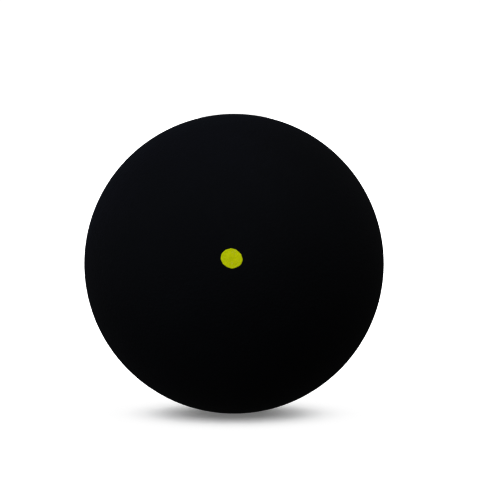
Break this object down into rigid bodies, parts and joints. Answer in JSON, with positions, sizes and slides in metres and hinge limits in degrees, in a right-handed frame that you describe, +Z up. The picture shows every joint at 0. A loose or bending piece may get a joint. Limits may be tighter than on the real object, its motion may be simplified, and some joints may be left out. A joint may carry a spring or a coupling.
{
  "type": "squash ball",
  "caption": "Hollow matte black rubber ball of two half-shells cemented rim to rim, with a printed yellow speed dot; struck by a racket in squash.",
  "frame": {"origin": "centre of the ball", "axes": "+Z up as the ball lies in the picture; +Y is the moulding axis, square to the seam plane, pointing to the rear half; the speed dot is on the front, -Y side; +X to the right seen from the front"},
  "size_m": [0.04, 0.04, 0.04],
  "materials": {
    "ball_rubber": "matte",
    "rubber_cement": "satin",
    "yellow_ink": "matte"
  },
  "bodies": {
    "root": {"front_half_shell": "ball_rubber", "rear_half_shell": "ball_rubber", "seam_cement": "rubber_cement", "speed_dot": "yellow_ink"}
  },
  "joints": []
}
